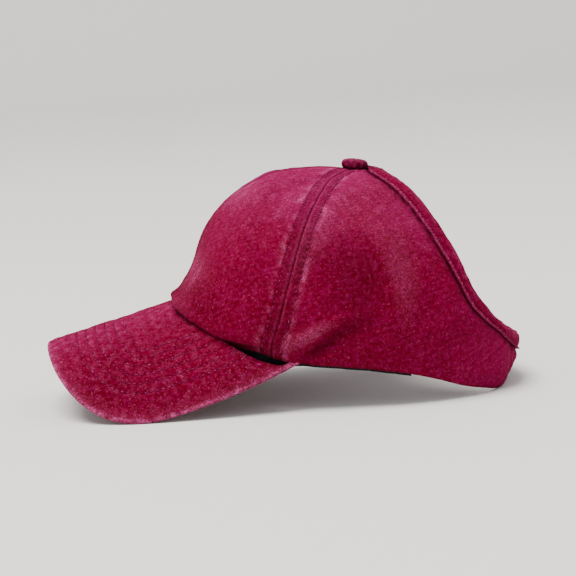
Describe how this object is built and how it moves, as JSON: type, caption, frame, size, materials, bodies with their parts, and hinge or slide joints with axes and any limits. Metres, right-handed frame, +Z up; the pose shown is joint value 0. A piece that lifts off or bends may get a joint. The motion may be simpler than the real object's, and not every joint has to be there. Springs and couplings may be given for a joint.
{
  "type": "ponytail baseball cap",
  "caption": "Soft cotton cap with a curved brim, a top button and a large bound opening at the back for a ponytail.",
  "frame": {"origin": "middle of the cap's box, on the surface that it rests on", "axes": "+X towards the back of the head, brim towards -X, wearer's left towards -Y, +Z up"},
  "size_m": [0.2712, 0.1522, 0.1319],
  "materials": {
    "washed_cotton": "washed cotton twill, faded raspberry, matt",
    "brim_cotton": "washed cotton twill, stitched in rows, worn pale at the edge",
    "binding_cotton": "folded cotton twill with an edge stitch",
    "band_cotton": "black cotton twill, matt",
    "button_cotton": "cotton twill stretched over a button"
  },
  "bodies": {
    "root": {"front_panel_left": "washed_cotton", "front_panel_right": "washed_cotton", "side_panel_left": "washed_cotton", "side_panel_right": "washed_cotton", "brim": "brim_cotton", "opening_binding": "binding_cotton", "sweatband": "band_cotton", "button": "button_cotton"}
  },
  "joints": []
}
